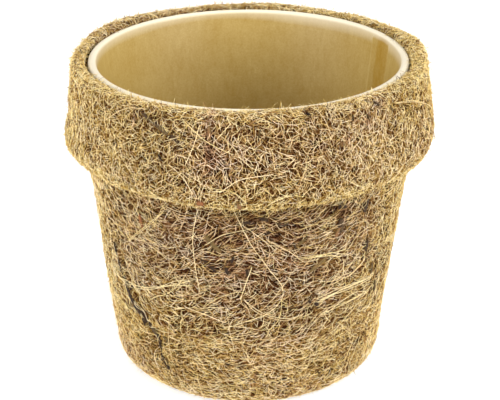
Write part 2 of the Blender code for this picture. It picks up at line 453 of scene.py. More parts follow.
class Skin:
    # One face of a coir wall: its outline, its unevenness and its patches of shade

    def __init__(self, seed, corners, shape=level, hang=level, bands=hiddenBands, marks=(), rough=1.0,
                 combed=0.0):
        self.outline = Meridian(roundCorners(corners))
        self.length = self.outline.length
        self.shape = shape
        self.hang = hang
        self.bands = bands
        self.marks = marks
        self.combed = combed
        rng = np.random.default_rng(seed)
        cells = (int(self.length / mm) + 2, felt["cells"])
        self.relief = rough * (felt["lumps"] * makeField(rng, cells, felt["lumpReach"])
                               + felt["nubs"] * makeField(rng, cells, felt["nubReach"]))
        self.patches = makeField(rng, cells, felt["patchReach"])
        self.clots = makeField(rng, cells, felt["clotReach"])
        self.hues = makeField(rng, cells, felt["hueReach"])
        self.combing = makeField(rng, cells, felt["combReach"])

    def lift(self, along, around):
        r, z, _, _ = self.outline.read(along)
        pressed = np.clip(z / felt["flatFoot"], 0, 1)
        return (readField(self.relief, along / self.length, around) + self.shape(z, around, r)) * pressed

    def place(self, along, around, height):
        point, normal = turnedPoint(self.outline, along, around, self.lift(along, around) + height)
        point[..., 2] += self.hang(point[..., 2], around)
        return point, normal

    def look(self, along, around):
        # the tone and hue to add to the fibres' own
        share = along / self.length
        r, z, _, _ = self.outline.read(along)
        tone, hue = self.bands(z, around, r)
        clots = np.clip(readField(self.clots, share, around) - felt["clotStart"], 0, 1)
        tone = tone + felt["patchTone"] * readField(self.patches, share, around) - felt["clotTone"] * clots
        hue = hue + felt["hueSpread"] * readField(self.hues, share, around)
        for angle, middle, wide, tall, toneShift, hueShift in self.marks:
            across = angleFrom(around, angle) * r / (wide * mm)
            up = (z - middle * mm) / (tall * mm)
            weight = np.exp(-across ** 2 - up ** 2)
            tone = tone + toneShift * weight
            hue = hue + hueShift * weight
        return tone, hue

    def comb(self, along, around):
        # combed fibres lie about level, and this is how far they slope
        return felt["combSlope"] * readField(self.combing, along / self.length, around)

    def alongAt(self, height):
        # the outline's length at a height, on the stretch that falls from its top
        top = np.argmax(self.outline.z)
        return np.interp(-height, -self.outline.z[top:], self.outline.at[top:])


edgeInside = cuff["widest"] - cuff["tuck"] - cuff["edgeWall"]
shellOut = Skin(11, [
    (wall["rimInside"] + wall["rimRound"], shellTop, 0),
    (wall["rimRadius"], shellTop, wall["rimRound"]),
    (wall["cuffRadius"], cuffEdge, 0),
    (wall["footRadius"], 0.0, wall["footRound"]),
    (wall["hole"], 0.0, 0)], wallShape, bands=wallBands, marks=wallMarks, combed=0.5)
shellIn = Skin(12, [
    (wall["hole"], wall["floor"], 0),
    (wall["floorRadius"], wall["floor"], wall["floorRound"]),
    (wall["rimInside"], shellTop, 0)], rough=0.5)
cuffOut = Skin(13, [
    (wall["rimInside"] + cuff["gap"], cuffTop - cuff["capWall"], 0),
    (wall["rimInside"] + cuff["gap"], cuffTop - cuff["dip"], cuff["innerRound"]),
    (cuff["topRadius"], cuffTop, cuff["topRound"]),
    (cuff["widest"], cuffEdge + cuff["lip"], cuff["lipRound"]),
    (cuff["widest"] - cuff["tuck"], cuffEdge, cuff["edgeRound"]),
    (edgeInside + cuff["outEnd"], cuffEdge, 0)], cuffShape, cuffHang, cuffBands, cuffMarks)
cuffIn = Skin(14, [
    (edgeInside + cuff["backStart"], cuffEdge, 0),
    (cuff["widest"] - cuff["edgeWall"], cuffEdge + cuff["lip"], cuff["backRound"]),
    (wall["rimRadius"] + cuff["backGap"], shellTop - cuff["backTop"], 0),
    (wall["rimRadius"] + cuff["gap"], shellTop + cuff["gap"], 0)], cuffBackShape, cuffHang, rough=0.5)


# Materials of the coir

strandFinish = {
    "blotch": 3.846 * mm, "blotchTone": 0.36,   # paler and darker stretches along a strand
    "roughness": 0.48, "blotchRoughness": 0.25, "gloss": 0.08,
    "straw": [(0.00, "#240c00"), (0.18, "#602e0a"), (0.40, "#a27a3c"), (0.62, "#d0ac5c"), (0.82, "#edd48c"),
              (1.00, "#fbe9b4")],
    "russet": [(0.00, "#1e0c04"), (0.18, "#542c16"), (0.40, "#9a6a4a"), (0.62, "#cea27a"), (0.82, "#ebcca8"),
               (1.00, "#fbe6cc")],
}
# the pith's dark colours are partly painted shade for the gaps between the fibres
pithFinish = {
    "crumb": 1.111 * mm, "crumbDepth": 0.4 * mm, "roughness": 0.95, "gloss": 0.05,
    "curls": [(0.00, "#94704a"), (0.03, "#6e4f30"), (0.07, "#3c2210"), (0.16, "#1a0b02")],
}


def coirFibreMaterial():
    # Coir fibre, retted and dried: stiff, dull straw to brown, a faint gloss along each strand
    material, tree, shader = newMaterial("coirFibre")
    tone = addNode(tree, "ShaderNodeAttribute", {"attribute_name": "tone"})
    tint = addNode(tree, "ShaderNodeAttribute", {"attribute_name": "tint"})
    place = addNode(tree, "ShaderNodeTexCoord")
    mottle = addNode(tree, "ShaderNodeTexNoise",
                     inputs={"Scale": 1 / strandFinish["blotch"], "Detail": 3.0, "Roughness": 0.6},
                     links={"Vector": place.outputs["Object"]})
    shift = addNode(tree, "ShaderNodeMath", {"operation": "MULTIPLY_ADD"},
                    {1: strandFinish["blotchTone"], 2: -strandFinish["blotchTone"] / 2},
                    {0: mottle.outputs["Fac"]})
    mixed = addNode(tree, "ShaderNodeMath", {"operation": "ADD", "use_clamp": True},
                    links={0: tone.outputs["Fac"], 1: shift.outputs["Value"]})
    russet, straw = [addNode(tree, "ShaderNodeValToRGB", links={"Fac": mixed.outputs["Value"]}, stops=stops)
                     for stops in (strandFinish["russet"], strandFinish["straw"])]
    colour = addNode(tree, "ShaderNodeMix", {"data_type": "RGBA"},
                     links={"Factor": tint.outputs["Fac"], "A": russet.outputs["Color"],
                            "B": straw.outputs["Color"]})
    tree.links.new(colour.outputs["Result"], shader.inputs["Base Color"])
    rough = addNode(tree, "ShaderNodeMath", {"operation": "MULTIPLY_ADD"},
                    {1: strandFinish["blotchRoughness"], 2: strandFinish["roughness"]},
                    {0: mottle.outputs["Fac"]})
    tree.links.new(rough.outputs["Value"], shader.inputs["Roughness"])
    shader.inputs["Specular IOR Level"].default_value = strandFinish["gloss"]
    return material


def coirPithMaterial():
    # Coir pith and latex between the fibres: crumbly, without gloss, and dark partly as painted shade for the
    # gaps between the fibres
    material, tree, shader = newMaterial("coirPithAndShade")
    place = addNode(tree, "ShaderNodeTexCoord")
    crumbs = addNode(tree, "ShaderNodeTexNoise",
                     inputs={"Scale": 1 / pithFinish["crumb"], "Detail": 2.0, "Roughness": 0.6,
                             "Distortion": 1.5},
                     links={"Vector": place.outputs["Object"]})
    # the noise crosses its middle value along thin curls, and these stand for short fibres
    off = addNode(tree, "ShaderNodeMath", {"operation": "SUBTRACT"}, {1: 0.5}, {0: crumbs.outputs["Fac"]})
    curls = addNode(tree, "ShaderNodeMath", {"operation": "ABSOLUTE"}, links={0: off.outputs["Value"]})
    colour = addNode(tree, "ShaderNodeValToRGB", links={"Fac": curls.outputs["Value"]},
                     stops=pithFinish["curls"])
    tree.links.new(colour.outputs["Color"], shader.inputs["Base Color"])
    bump = addNode(tree, "ShaderNodeBump", {"invert": True}, links={"Height": curls.outputs["Value"]},
                   inputs={"Strength": 0.8, "Distance": pithFinish["crumbDepth"]})
    tree.links.new(bump.outputs["Normal"], shader.inputs["Normal"])
    shader.inputs["Roughness"].default_value = pithFinish["roughness"]
    shader.inputs["Specular IOR Level"].default_value = pithFinish["gloss"]
    return material


coirFibre = coirFibreMaterial()
coirPithAndShade = coirPithMaterial()


# The mat of pith under the fibres

mat = {
    "columns": 300, "spacing": 1.3 * mm,
    "insideDepth": 0.9 * mm, "backDepth": 0.5 * mm,   # under the fibres of the faces that hardly show
    "ground": 0.1 * mm,                               # nothing of it lies lower
}


def skinRings(skin, depth):
    angles = np.linspace(0, math.tau, mat["columns"], endpoint=False)
    rings = []
    for along in np.linspace(0, skin.length, int(skin.length / mat["spacing"])):
        point, _ = skin.place(np.full(mat["columns"], along), angles, -depth)
        point[:, 2] = np.maximum(point[:, 2], mat["ground"])
        rings.append(point)
    return rings


def ringQuads(rings, columns, closed):
    i = np.arange(columns)
    j = (i + 1) % columns
    quads = []
    for row in range(rings if closed else rings - 1):
        here = row * columns
        after = (row + 1) % rings * columns
        quads.append(np.stack([here + i, after + i, after + j, here + j], -1))
    return np.concatenate(quads)


def wallMat():
    # the inside runs floor to rim and the outside rim to underside, and a pole closes each end
    columns = mat["columns"]
    rings = skinRings(shellIn, mat["insideDepth"]) + skinRings(shellOut, felt["matDepth"])
    poles = np.array([[0, 0, wall["floor"] - mat["insideDepth"]], [0, 0, mat["ground"]]])
    floorPole = len(rings) * columns
    last = floorPole - columns
    i = np.arange(columns)
    j = (i + 1) % columns
    tris = np.concatenate([np.stack([np.full(columns, floorPole), i, j], -1),
                           np.stack([np.full(columns, floorPole + 1), last + j, last + i], -1)])
    verts = np.concatenate(rings + [poles])
    return meshFromArrays("coirMat", verts, ringQuads(len(rings), columns, False), tris)


def cuffMat():
    rings = skinRings(cuffOut, felt["matDepth"]) + skinRings(cuffIn, mat["backDepth"])
    return meshFromArrays("coirCuffMat", np.concatenate(rings), ringQuads(len(rings), mat["columns"], True))


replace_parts(addPiece("coirMat", wallMat(), coirPithAndShade, "pot"), "coir_shell")
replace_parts(addPiece("coirCuffMat", cuffMat(), coirPithAndShade, "pot"), "coir_cuff")
print("pith mats made")


# Fibres laid over a skin

strand = {
    "widthSpread": 0.20, "taper": 0.5,
    "rounds": (0.6, 2.2),                      # times that it weaves up and down
    "sink": 0.15,                              # share of its length over which each end dives under
    "hueSpread": 0.26,
    "paleShare": 0.05, "paler": (0.20, 0.35),
    "darkShare": 0.20, "darker": (0.25, 0.60),
    "offGround": 0.05 * mm,
}
walk = {
    "readings": 400,                               # of the ring's width, from which the starts are drawn
    "tries": 4, "batches": 30, "cell": 1.0 * mm,   # how paths are picked so that they cover a face evenly
    "combScatter": 0.40,                           # radians off the comb's slope
    "leastRadius": 3 * mm,                         # a step counts as if it were never nearer the axis
    "keepsBend": 0.8, "newBend": 0.6,              # how a bend goes on from step to step
}


def walkPaths(rng, skin, count, steps, layer):
    # each path wanders over the face from a random start, and turns back at the ends of its span
    low, high = layer["span"]
    grid = np.linspace(low, high, walk["readings"])
    share = np.cumsum(skin.outline.read(grid)[0])
    alongs = np.zeros((count, steps))
    arounds = np.zeros((count, steps))
    alongs[:, 0] = np.interp(rng.random(count) * share[-1], share, grid)
    arounds[:, 0] = rng.random(count) * math.tau
    step = rng.uniform(*layer["length"], count) / (steps - 1)
    combed = skin.comb(alongs[:, 0], arounds[:, 0]) + walk["combScatter"] * rng.standard_normal(count)
    combed += math.pi * (rng.random(count) < 0.5)
    course = np.where(rng.random(count) < skin.combed, combed, rng.random(count) * math.tau)
    bend = rng.standard_normal(count) * layer["bend"]
    for k in range(1, steps):
        ring = skin.outline.read(alongs[:, k - 1])[0]
        arounds[:, k] = arounds[:, k - 1] + np.cos(course) * step / np.maximum(ring, walk["leastRadius"])
        along = alongs[:, k - 1] + np.sin(course) * step
        course = np.where((along < low) | (along > high), -course, course) + bend * step
        along = np.where(along < low, 2 * low - along, along)
        alongs[:, k] = np.where(along > high, 2 * high - along, along)
        bend = walk["keepsBend"] * bend + walk["newBend"] * layer["bend"] * rng.standard_normal(count)
    return alongs, arounds


def evenPaths(rng, skin, count, steps, layer):
    # more paths are walked than needed, and those over the barest ground are kept
    low, high = layer["span"]
    cell = walk["cell"]
    alongs, arounds = walkPaths(rng, skin, count * walk["tries"], steps, layer)
    columns = int(math.tau * skin.outline.r.max() / cell)
    rows = int((high - low) / cell) + 1
    cover = np.zeros(rows * columns)
    ring = skin.outline.read(low + (np.arange(rows) + 0.5) * cell)[0]
    room = np.repeat(ring / ring.max(), columns)
    row = ((alongs - low) / cell).astype(int).clip(0, rows - 1)
    cells = row * columns + (arounds / math.tau % 1.0 * columns).astype(int) % columns
    kept = []
    for batch in np.array_split(np.arange(count * walk["tries"]), walk["batches"]):
        load = (cover / room)[cells[batch]].mean(1)
        best = batch[np.argsort(load, kind="stable")[:round(len(batch) / walk["tries"])]]
        kept.append(best)
        np.add.at(cover, cells[best].ravel(), 1)
    kept = np.concatenate(kept)
    return alongs[kept], arounds[kept]


def layFibres(rng, skin, layer):
    # each fibre lies along its path, weaves a little up and down and dives under at both ends
    steps = layer["steps"]
    alongs, arounds = evenPaths(rng, skin, layer["count"] // thinning, steps, layer)
    count = len(alongs)
    base = rng.uniform(*layer["height"], count)[:, None]
    phase = rng.random(count)[:, None] * math.tau
    rate = rng.uniform(*strand["rounds"], count)[:, None]
    t = np.linspace(0, 1, steps)[None, :]
    ending = 1 - np.minimum(np.minimum(t, 1 - t), strand["sink"]) / strand["sink"]
    height = base - layer["dive"] * ending + layer["weave"] * np.sin(phase + rate * math.tau * t)
    points, normals = skin.place(alongs, arounds, height)
    radius = layer["width"] * np.exp(strand["widthSpread"] * rng.standard_normal(count)) / 2
    taper = 1 - strand["taper"] * np.abs(np.linspace(-1, 1, steps)) ** 4
    radii = radius[:, None] * taper[None, :]
    tone, hue = skin.look(alongs, arounds)
    tone = tone + fibreTones(rng, count, layer["tone"])[:, None]
    hue = hue + strand["hueSpread"] * rng.standard_normal(count)[:, None]
    points[:, :, 2] = np.maximum(points[:, :, 2], radii + strand["offGround"])
    return points, normals, radii, tone, hue


def fibreTones(rng, count, tone):
    middle, spread = tone
    own = middle + spread * rng.standard_normal(count)
    pale = rng.random(count) < strand["paleShare"]
    dark = rng.random(count) < strand["darkShare"]
    own = np.where(pale, middle + rng.uniform(*strand["paler"], count), own)
    return np.where(dark, middle - rng.uniform(*strand["darker"], count), own)


def fibreLayer(count, length, height, width, tone, bend, span, weave=0.15, dive=0.6, steps=5):
    # lengths, heights over the skin, width, weave and dive come in mm, and bend is per metre
    return {"count": count, "steps": steps, "tone": tone, "bend": bend, "span": span,
            "length": [value * mm for value in length], "height": [value * mm for value in height],
            "width": width * mm, "weave": weave * mm, "dive": dive * mm}


def addFibres(name, seed, skin, layer):
    rng = np.random.default_rng(seed)
    return addPiece(name, fibreMesh(name, layFibres(rng, skin, layer)), coirFibre, "pot")


wallFoot = shellOut.alongAt(0.3 * mm)
wallBand = (shellOut.alongAt(cuffEdge + 9 * mm), wallFoot)
footBand = (shellOut.alongAt(wall["footBand"]), wallFoot)
cuffBand = (0.0, cuffOut.length)

# flat at the bottom and springy on top, with painted shade by depth: the lower a layer, the darker its tone
wallLayers = {
    "Deep": fibreLayer(7600, (6, 12), (-0.9, -0.65), 0.34, (0.10, 0.06), 120, wallBand),
    "Lower": fibreLayer(7600, (6, 12), (-0.75, -0.5), 0.28, (0.15, 0.08), 110, wallBand),
    "Middle": fibreLayer(7600, (5, 11), (-0.6, -0.35), 0.24, (0.19, 0.10), 110, wallBand),
    "Upper": fibreLayer(7600, (5, 11), (-0.45, -0.2), 0.22, (0.33, 0.13), 110, wallBand, 0.2),
    "Over": fibreLayer(9900, (3, 8), (-0.3, -0.05), 0.19, (0.66, 0.17), 130, wallBand, 0.2, steps=4),
    "Top": fibreLayer(9900, (3, 8), (-0.2, 0.05), 0.20, (0.94, 0.12), 130, wallBand, 0.2, steps=4),
    "Crest": fibreLayer(7400, (3, 9), (-0.1, 0.5), 0.20, (0.98, 0.12), 110, wallBand, dive=1.0),
    "Foot": fibreLayer(9900, (3, 6), (-0.45, 0.0), 0.25, (0.60, 0.15), 220, footBand, steps=4),
}
# the same painted shade by depth: the lower a layer, the darker its tone
cuffLayers = {
    "Deep": fibreLayer(9900, (4, 7), (-0.85, -0.6), 0.30, (0.10, 0.06), 200, cuffBand, steps=4),
    "Lower": fibreLayer(9900, (4, 8), (-0.7, -0.45), 0.23, (0.15, 0.08), 150, cuffBand, steps=4),
    "Middle": fibreLayer(9900, (4, 8), (-0.55, -0.3), 0.21, (0.20, 0.10), 150, cuffBand, steps=4),
    "Upper": fibreLayer(9900, (3, 8), (-0.4, -0.15), 0.19, (0.32, 0.13), 140, cuffBand, 0.2, steps=4),
    "Over": fibreLayer(9900, (3, 8), (-0.3, -0.05), 0.18, (0.53, 0.16), 140, cuffBand, 0.2, steps=4),
    "Top": fibreLayer(9900, (3, 8), (-0.2, 0.1), 0.20, (0.94, 0.12), 140, cuffBand, 0.2, steps=4),
    "Crest": fibreLayer(3400, (2, 6), (0.0, 0.6), 0.19, (0.96, 0.12), 200, cuffBand, dive=1.1),
}
for number, (layerName, layer) in enumerate(wallLayers.items()):
    addFibres("coirWall" + layerName, 100 + number, shellOut, layer)
for number, (layerName, layer) in enumerate(cuffLayers.items()):
    addFibres("coirCuff" + layerName, 200 + number, cuffOut, layer)
print("outer fibres laid")

hiddenLayers = {
    "coirInside": (shellIn, "coir_mat", fibreLayer(
        6200, (10, 24), (-0.7, -0.1), 0.40, (0.56, 0.16), 60, (0.0, shellIn.length), 0.2)),
    "coirUnderside": (shellOut, "coir_mat", fibreLayer(
        2600, (8, 22), (-0.2, 0.1), 0.34, (0.50, 0.15), 60, (wallFoot, shellOut.length), 0.1)),
    "coirUnderCuff": (cuffIn, "coir_band", fibreLayer(
        4200, (6, 16), (-0.4, 0.1), 0.32, (0.46, 0.15), 80, (0.0, 0.7 * cuffIn.length), 0.2)),
}
for number, (pieceName, (skin, slotName, layer)) in enumerate(hiddenLayers.items()):
    addFibres(pieceName, 300 + number, skin, layer)
print("inner fibres laid")


# Loose ends that leave the skin

looseEnd = {
    "steps": 6, "root": -0.4 * mm, "tip": 0.45,   # how thick its end is beside its start
    "curlShare": (0.2, 1.0), "sideLean": 0.3, "hueShift": 0.15,
}
bristle = {
    "count": 3600, "span": (cuffOut.alongAt(cuffEdge + 3.0 * mm), cuffOut.length - 1.5 * mm),
    "length": (0.8 * mm, 2.4 * mm), "width": 0.23 * mm, "tone": (0.72, 0.14), "out": 0.25, "down": 0.9,
    "scatter": 0.40, "curl": 120.0}
rimFuzz = {
    "count": 2200, "span": (2.5 * mm, cuffOut.alongAt(cuffTop - 3.0 * mm)), "length": (1.6 * mm, 5.0 * mm),
    "width": 0.22 * mm, "tone": (0.76, 0.11), "out": 0.25, "down": 0.0, "scatter": 0.8, "curl": 260.0}
cuffStrays = {
    "count": 1600, "span": cuffBand, "length": (1.6 * mm, 3.8 * mm), "width": 0.28 * mm,
    "tone": (0.54, 0.20), "out": 1.30, "down": 0.1, "scatter": 0.7, "curl": 200.0}
wallStrays = {
    "count": 1700, "span": wallBand, "length": (1.6 * mm, 3.4 * mm), "width": 0.26 * mm,
    "tone": (0.54, 0.20), "out": 1.10, "down": 0.1, "scatter": 0.8, "curl": 200.0}
wallRuns = fibreLayer(420, (14, 36), (0.0, 0.15), 0.23, (0.86, 0.08), 50, wallBand, 0.2, steps=16)
cuffRuns = fibreLayer(300, (8, 22), (0.0, 0.15), 0.22, (0.88, 0.08), 70, cuffBand, 0.2, steps=12)


def skinFrame(skin, along, around, height):
    # place, outward, along the outline and round the pot
    reach = 0.5 * mm
    point, normal = skin.place(along, around, height)
    ahead, _ = skin.place(np.clip(along + reach, 0, skin.length), around, height)
    behind, _ = skin.place(np.clip(along - reach, 0, skin.length), around, height)
    down = unit(ahead - behind)
    return point, normal, down, np.cross(normal, down)


def growFibres(rng, skin, ends):
    # each end starts in the mat and bends freely in the air
    count = ends["count"] // thinning
    steps = looseEnd["steps"]
    along = rng.uniform(*ends["span"], count)
    around = rng.random(count) * math.tau
    point, normal, down, side = skinFrame(skin, along, around, looseEnd["root"])
    scatter = ends["scatter"] * rng.standard_normal((count, 2))
    heading = unit(normal * ends["out"] + down * (ends["down"] + scatter[:, :1]) + side * scatter[:, 1:])
    turn = unit(np.cross(heading, rng.standard_normal((count, 3)))) * ends["curl"]
    turn = turn * rng.uniform(*looseEnd["curlShare"], (count, 1))
    step = (rng.uniform(*ends["length"], count) / (steps - 1))[:, None]
    points = np.zeros((count, steps, 3))
    for k in range(steps):
        points[:, k] = point
        point = point + heading * step
        heading = unit(heading + turn * step)
    radius = ends["width"] * np.exp(strand["widthSpread"] * rng.standard_normal((count, 1))) / 2
    radii = radius * np.linspace(1.0, looseEnd["tip"], steps)
    normals = np.repeat(unit(normal + looseEnd["sideLean"] * side)[:, None], steps, axis=1)
    tone = fibreTones(rng, count, ends["tone"])[:, None] * np.ones(steps)
    _, hue = skin.look(along, around)
    hue = np.clip(hue + looseEnd["hueShift"], 0, 1)[:, None] * np.ones(steps)
    points[:, :, 2] = np.maximum(points[:, :, 2], radii + strand["offGround"])
    return points, normals, radii, tone, hue


# Long fibres that lie where the eye finds them

longFibre = {
    "steps": 24, "lift": 0.60 * mm, "wave": 0.12 * mm, "sunk": -0.3 * mm,
    "phase": 6, "waveTurn": 5,                # of its wave in radians: the latest start, and per point
    "angleDrift": 0.8, "heightDrift": 1.12,   # of those that lie beside the first one
    "width": (0.24 * mm, 0.34 * mm), "tone": (0.86, 1.0), "hue": (0.5, 1.0),
}

# how many side by side, and their way as angles in degrees and heights in mm
longWall = [
    (1, [(263.8, 113), (270.5, 91.6), (276.8, 78.4), (282.4, 66.2), (279, 56), (268.7, 50), (260.8, 46)]),
    (1, [(253.1, 106), (251, 91), (251.4, 75.5), (252.3, 63)]),
    (2, [(240.4, 102), (232.9, 92.1), (222.3, 80.2)]),
    (1, [(230.6, 104.2), (228.5, 98), (223.3, 93.5)]),
    (3, [(210, 58), (216, 55.6), (230.7, 59.7), (242.6, 65.7), (249.6, 69.3)]),
    (5, [(296.3, 57.5), (308.3, 59.5), (324.2, 58.3)]),
    (3, [(297.7, 49.4), (311.9, 50.8), (323.5, 51)]),
    (3, [(288, 81.4), (295.6, 81.1), (305, 77.9)]),
    (2, [(317.1, 71.3), (311.4, 66.4), (306.6, 65.3), (300.3, 63.8)]),
    (1, [(305.8, 75.7), (306.7, 67.3)]),
    (2, [(220.3, 46.2), (228, 39.9)]),
    (1, [(238, 44.2), (237.5, 29.9), (238.4, 21.1)]),
    (1, [(252, 54.3), (259, 62), (267, 65.9), (273.4, 61.6)]),
    (1, [(245.6, 54.8), (253.8, 52.5), (261.7, 49.3)]),
    (1, [(282.2, 60.8), (281.3, 51.1), (276.6, 44)]),
    (2, [(268.4, 61.7), (274.9, 55), (283.2, 50.8), (291, 51.4)]),
    (1, [(271.2, 78.6), (269.2, 70.8), (267, 61.6)]),
    (1, [(276, 93), (284, 86), (289.5, 79.5)]),
    (1, [(255, 89), (262, 95.5), (272, 99)]),
    (1, [(267.3, 101.2), (273.2, 95.1), (279.4, 86.9)]),
]
longCuff = [
    (1, [(250.9, 150.4), (257.8, 142.5), (265.8, 137.2)]),
    (1, [(245.3, 140.1), (249.4, 142.5)]),
    (1, [(265, 150.3), (261.2, 143.7)]),
    (2, [(319.2, 148.8), (329, 145.2), (340, 139), (348.3, 132)]),
    (1, [(222, 141), (231, 150), (238, 152)]),
    (1, [(252, 131), (254.6, 141), (256, 149)]),
    (1, [(247, 131), (251.5, 126), (254.6, 119.5)]),
    (1, [(262, 121), (268, 127), (277, 129)]),
]


def smoothRun(values, at):
    # a soft curve through all the values
    padded = np.concatenate([[2 * values[0] - values[1]], values, [2 * values[-1] - values[-2]]])
    i = np.minimum(at.astype(int), len(values) - 2)
    t = at - i
    a, b, c, d = padded[i], padded[i + 1], padded[i + 2], padded[i + 3]
    square = 2 * a - 5 * b + 4 * c - d
    cube = 3 * b - a - 3 * c + d
    return 0.5 * (2 * b + (c - a) * t + square * t ** 2 + cube * t ** 3)


def longRun(skin, route, rng):
    at = np.linspace(0, len(route) - 1, longFibre["steps"])
    around = smoothRun(np.radians(route[:, 0]), at)
    along = skin.alongAt(smoothRun(route[:, 1] * mm, at))
    phase = rng.random() * longFibre["phase"]
    lift = longFibre["lift"] + longFibre["wave"] * np.sin(phase + longFibre["waveTurn"] * at)
    lift[0] = lift[-1] = longFibre["sunk"]
    return skin.place(along, around, lift)


def longFibres(rng, skin, routes):
    drift = np.array([longFibre["angleDrift"], longFibre["heightDrift"]])
    runs = []
    for copies, route in routes:
        for copy in range(copies):
            off = drift * rng.standard_normal((len(route), 2)) * (copy > 0)
            runs.append(longRun(skin, np.array(route) + off, rng))
    points = np.array([point for point, _ in runs])
    normals = np.array([normal for _, normal in runs])
    each = (len(runs), 1)
    along = np.ones(longFibre["steps"])
    radii = 0.5 * rng.uniform(*longFibre["width"], each) * along
    tone = rng.uniform(*longFibre["tone"], each) * along
    hue = rng.uniform(*longFibre["hue"], each) * along
    return points, normals, radii, tone, hue


def addLooseFibres():
    rng = np.random.default_rng(31)
    onWall = [layFibres(rng, shellOut, wallRuns), growFibres(rng, shellOut, wallStrays),
              longFibres(rng, shellOut, longWall)]
    onCuff = [layFibres(rng, cuffOut, cuffRuns), growFibres(rng, cuffOut, cuffStrays),
              growFibres(rng, cuffOut, rimFuzz), longFibres(rng, cuffOut, longCuff)]
    onEdge = [growFibres(rng, cuffOut, bristle)]
    for name, bundles, slotName in (
            ("coirWallLoose", onWall, "coir_mat"), ("coirCuffLoose", onCuff, "coir_band"),
            ("coirCuffBristle", onEdge, "coir_band")):
        addPiece(name, fibreMesh(name, *bundles), coirFibre, "pot")


addLooseFibres()
print("loose fibres laid")


# Chips of husk bark caught in the mat

husk = {
    "rows": 9, "columns": 5, "ragged": 0.18, "uneven": 0.08, "blunt": 1.05,   # 1 would make pointed ends
    "crown": 0.16 * mm, "warp": 0.05 * mm, "standing": 0.20 * mm, "root": -0.6 * mm,
    "strewnLength": (1.5, 4.0), "strewnWidth": (0.4, 1.0), "strewnTones": [0.12, 0.25, 0.4, 0.6],
    "ridges": 5.0,              # of them in half a chip's width, so each is about 0.2 mm
    "ridgeRoom": 40,            # half widths of ridge pattern, from which each chip has its stretch
    "ridgeDepth": 0.15 * mm, "spot": 1.4286 * mm, "mottleTone": 0.5, "roughness": 0.78, "gloss": 0.25,
    "bark": [(0.00, "#1e1009"), (0.25, "#3e2c18"), (0.50, "#69552f"), (0.72, "#805636"), (0.90, "#845330"),
             (1.00, "#925c36")],
}


def coirHuskMaterial():
    # Coconut husk bark: grey-brown, dull, with fine ridges along the chip
    material, tree, shader = newMaterial("coconutHusk")
    tone = addNode(tree, "ShaderNodeAttribute", {"attribute_name": "tone"})
    across = addNode(tree, "ShaderNodeAttribute", {"attribute_name": "across"})
    place = addNode(tree, "ShaderNodeTexCoord")
    grain = addNode(tree, "ShaderNodeTexNoise", {"noise_dimensions": "1D"},
                    {"Scale": husk["ridges"], "Detail": 3.0, "Roughness": 0.7}, {"W": across.outputs["Fac"]})
    spots = addNode(tree, "ShaderNodeTexNoise", inputs={"Scale": 1 / husk["spot"], "Detail": 3.0},
                    links={"Vector": place.outputs["Object"]})
    both = addNode(tree, "ShaderNodeMath", {"operation": "ADD"},
                   links={0: grain.outputs["Fac"], 1: spots.outputs["Fac"]})
    shift = addNode(tree, "ShaderNodeMath", {"operation": "MULTIPLY_ADD"},
                    {1: husk["mottleTone"], 2: -husk["mottleTone"]}, {0: both.outputs["Value"]})
    mixed = addNode(tree, "ShaderNodeMath", {"operation": "ADD", "use_clamp": True},
                    links={0: tone.outputs["Fac"], 1: shift.outputs["Value"]})
    colour = addNode(tree, "ShaderNodeValToRGB", links={"Fac": mixed.outputs["Value"]}, stops=husk["bark"])
    tree.links.new(colour.outputs["Color"], shader.inputs["Base Color"])
    bump = addNode(tree, "ShaderNodeBump", inputs={"Strength": 0.6, "Distance": husk["ridgeDepth"]},
                   links={"Height": grain.outputs["Fac"]})
    tree.links.new(bump.outputs["Normal"], shader.inputs["Normal"])
    shader.inputs["Roughness"].default_value = husk["roughness"]
    shader.inputs["Specular IOR Level"].default_value = husk["gloss"]
    return material


# angle, height, lean from upright, length and width in mm, tone
wallChips = [
    (211.6, 71.0, 12, 6.0, 1.4, 0.12), (213.3, 62.5, 14, 5.5, 1.7, 0.14), (215.3, 55.5, 20, 8.0, 1.7, 0.08),
    (217.2, 50.2, 24, 7.0, 2.3, 0.10), (219.6, 45.3, 34, 7.0, 3.0, 0.06), (223.2, 42.0, 45, 7.5, 3.3, 0.08),
    (226.4, 38.6, 50, 7.0, 3.2, 0.16), (229.4, 35.6, 56, 6.5, 2.6, 0.32), (232.0, 32.2, 30, 5.0, 1.7, 0.12),
    (232.3, 27.0, 6, 5.5, 1.4, 0.08), (232.4, 21.5, 22, 4.5, 1.3, 0.10), (234.3, 17.3, 40, 4.5, 1.3, 0.12),
    (224.5, 37.5, 30, 3.5, 1.2, 0.16), (219.0, 53.5, -30, 3.0, 1.2, 0.14), (236.0, 33.0, 70, 4.5, 1.5, 0.45),
    (258.0, 89.5, 38, 12.0, 1.9, 0.46), (230.3, 94.2, 8, 6.5, 1.6, 0.90), (303.0, 104.0, 70, 5.0, 2.2, 0.12),
    (303.3, 94.0, 8, 8.0, 2.2, 0.24), (314.2, 100.0, -14, 6.5, 2.2, 0.12), (317.6, 77.7, -5, 5.5, 2.2, 0.16),
    (323.4, 63.0, 4, 5.5, 2.0, 0.35), (328.3, 51.0, 10, 7.0, 1.4, 0.35), (295.3, 76.5, -52, 12.0, 1.8, 0.50),
    (288.5, 90.0, -50, 4.5, 1.2, 0.45), (302.0, 91.0, -20, 5.0, 1.8, 0.60), (296.0, 55.2, 40, 2.8, 1.5, 0.08),
    (293.0, 57.5, 30, 2.2, 1.2, 0.10), (269.9, 101.4, 84, 5.0, 1.6, 0.14), (275.4, 103.0, 76, 4.0, 1.6, 0.18),
    (281.0, 100.0, 78, 5.0, 1.4, 0.25), (257.6, 77.0, 50, 3.0, 1.6, 0.10), (262.4, 76.3, 20, 3.4, 1.6, 0.08),
    (264.4, 82.0, -20, 3.0, 1.3, 0.12), (269.6, 75.6, 10, 4.0, 1.3, 0.12), (254.6, 80.6, 70, 3.0, 1.2, 0.14),
]
